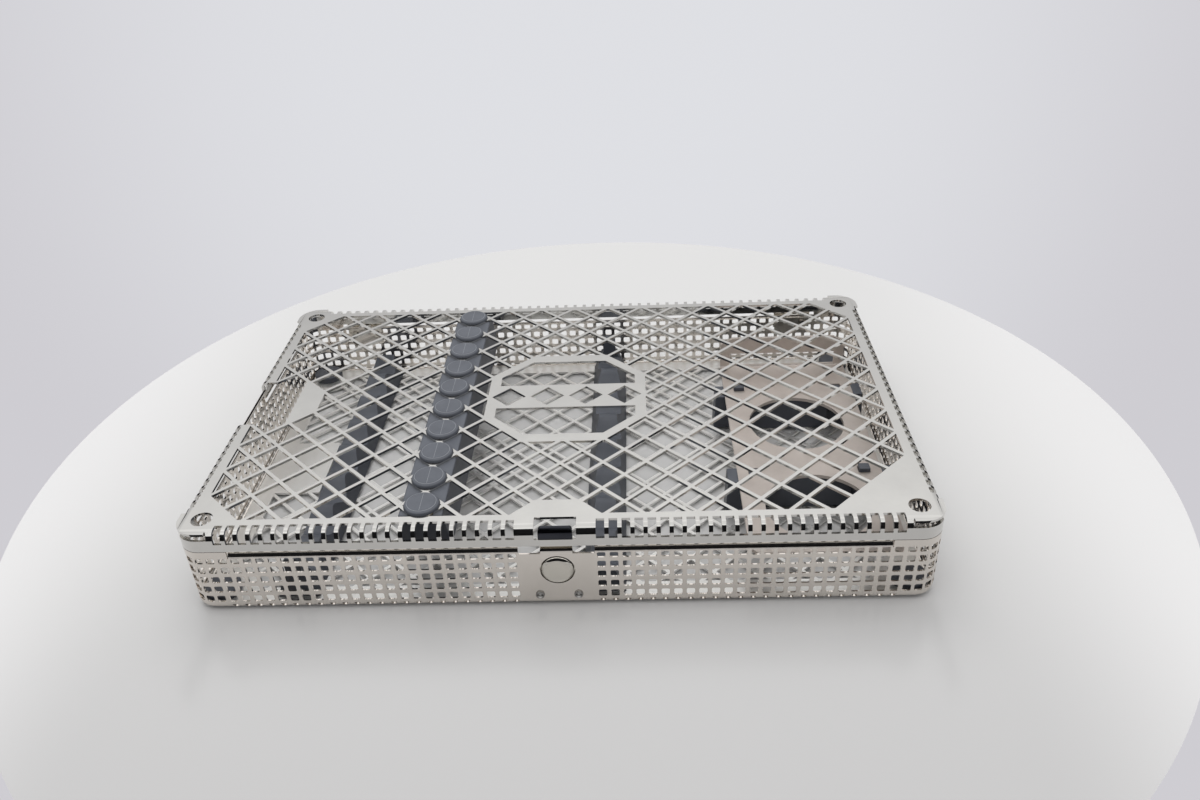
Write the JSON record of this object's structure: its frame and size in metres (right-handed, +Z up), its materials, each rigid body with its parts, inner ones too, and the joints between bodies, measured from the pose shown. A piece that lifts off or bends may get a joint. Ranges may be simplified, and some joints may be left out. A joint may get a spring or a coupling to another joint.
{
  "type": "dental instrument cassette",
  "caption": "Perforated steel cassette with hinged lattice lid, push-button latch, silicone instrument rails, hold-down rail and cup plate.",
  "frame": {"origin": "middle of the case's outline, on the surface that the cassette stands on", "axes": "+Z up, +X along the length to the cup plate's side, -Y to the latch"},
  "size_m": [0.28, 0.1851, 0.0386],
  "materials": {
    "tray_steel": "polished",
    "lid_steel": "polished",
    "plate_steel": "satin",
    "latch_steel": "polished",
    "hinge_steel": "polished",
    "silicone": "matte"
  },
  "bodies": {
    "tray": {"tray_floor": "tray_steel", "tray_front_wall": "tray_steel", "tray_rear_wall": "tray_steel", "tray_left_wall": "tray_steel", "tray_right_wall": "tray_steel", "tray_corners": "tray_steel", "tray_rim": "tray_steel", "tray_notch_wall": "tray_steel", "corner_feet": "silicone", "left_rail": "silicone", "centre_rail": "silicone", "left_rail_plugs": "silicone", "centre_rail_plugs": "silicone", "cup_plate": "plate_steel", "cup_plate_back": "plate_steel", "cup_plate_legs": "silicone", "cup_plate_bars": "silicone", "latch_foot": "latch_steel", "latch_rivets": "latch_steel", "hinge_tray_leaves": "hinge_steel", "hinge_tray_rivets": "hinge_steel", "hinge_pins": "hinge_steel"},
    "lid": {"lid_top": "lid_steel", "lid_front_flange": "lid_steel", "lid_rear_flange": "lid_steel", "lid_left_flange": "lid_steel", "lid_right_flange": "lid_steel", "lid_corner_bands": "lid_steel", "hinge_lid_leaves": "hinge_steel", "hinge_lid_rivets": "hinge_steel", "hold_down_rail": "silicone", "hold_down_heads": "silicone"},
    "latch": {"latch_leaf": "latch_steel", "latch_button": "latch_steel", "latch_tongue": "latch_steel"}
  },
  "joints": [
    {"name": "lid_hinge", "type": "hinge", "parent": "tray", "child": "lid", "pos_m": [0, 0.0922, 0.0278], "axis": [-1, 0, 0], "range_deg": [0, 110]},
    {"name": "latch_press", "type": "hinge", "parent": "tray", "child": "latch", "pos_m": [0, -0.08845, 0.009], "axis": [-1, 0, 0], "range_deg": [0, 6], "stiffness_Nm_per_rad": 0.6}
  ]
}
